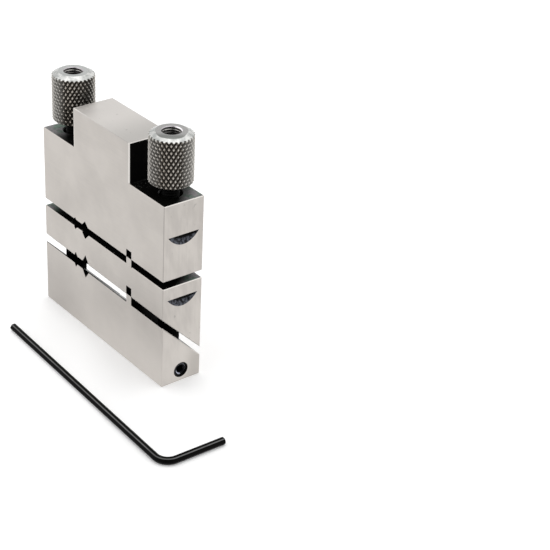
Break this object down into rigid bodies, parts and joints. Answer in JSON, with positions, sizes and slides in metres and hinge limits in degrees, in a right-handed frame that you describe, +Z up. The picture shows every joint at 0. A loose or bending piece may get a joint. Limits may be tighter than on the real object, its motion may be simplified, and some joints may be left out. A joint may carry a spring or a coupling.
{
  "type": "miter vise",
  "caption": "Toolmaker's miter vise: stacked steel jaws on studs with a square pair and a 45 degree pair of V-grooved faces, closed by knurled nuts, with its hex key.",
  "frame": {"origin": "centre of the lower jaw's underside, on the surface that the vise stands on", "axes": "+X along the jaws' width to the right seen from the front, -Y out of the front faces, from which the 45 degree faces slope down to the back, +Z up along the studs"},
  "size_m": [0.0919, 0.0345, 0.0742],
  "materials": {
    "ground_steel": "ground",
    "black_steel": "black oxide",
    "knurled_steel": "turned and knurled",
    "key_steel": "black oxide, satin"
  },
  "bodies": {
    "base": {"lower_jaw": "ground_steel", "stud_left": "black_steel", "stud_right": "black_steel"},
    "middle_jaw_body": {"middle_jaw": "ground_steel"},
    "upper_jaw_body": {"upper_jaw": "ground_steel"},
    "nut_left_body": {"nut_left": "knurled_steel"},
    "nut_right_body": {"nut_right": "knurled_steel"},
    "set_screw_left_body": {"set_screw_left": "black_steel"},
    "set_screw_right_body": {"set_screw_right": "black_steel"},
    "hex_key_body": {"hex_key": "key_steel"}
  },
  "joints": [
    {"name": "miter_jaw_slide", "type": "slide", "parent": "base", "child": "middle_jaw_body", "axis": [0, 0, 1], "range_m": [-0.00244, 0.0026]},
    {"name": "square_jaw_slide", "type": "slide", "parent": "middle_jaw_body", "child": "upper_jaw_body", "axis": [0, 0, 1], "range_m": [-0.00224, 0.002]},
    {"name": "nut_left_travel", "type": "slide", "parent": "upper_jaw_body", "child": "nut_left_body", "axis": [0, 0, 1], "range_m": [-0.00349, 0.0007]},
    {"name": "nut_right_travel", "type": "slide", "parent": "upper_jaw_body", "child": "nut_right_body", "axis": [0, 0, 1], "range_m": [-0.00349, 0.0007]},
    {"name": "set_screw_left_turn", "type": "hinge", "parent": "base", "child": "set_screw_left_body", "pos_m": [-0.02975, 0, 0.0036], "axis": [-1, 0, 0], "range_deg": [0, 450]},
    {"name": "set_screw_right_turn", "type": "hinge", "parent": "base", "child": "set_screw_right_body", "pos_m": [0.02975, 0, 0.0036], "axis": [1, 0, 0], "range_deg": [0, 450]},
    {"name": "hex_key_lift", "type": "slide", "parent": "base", "child": "hex_key_body", "axis": [0, 0, 1], "range_m": [0, 0.03]}
  ]
}
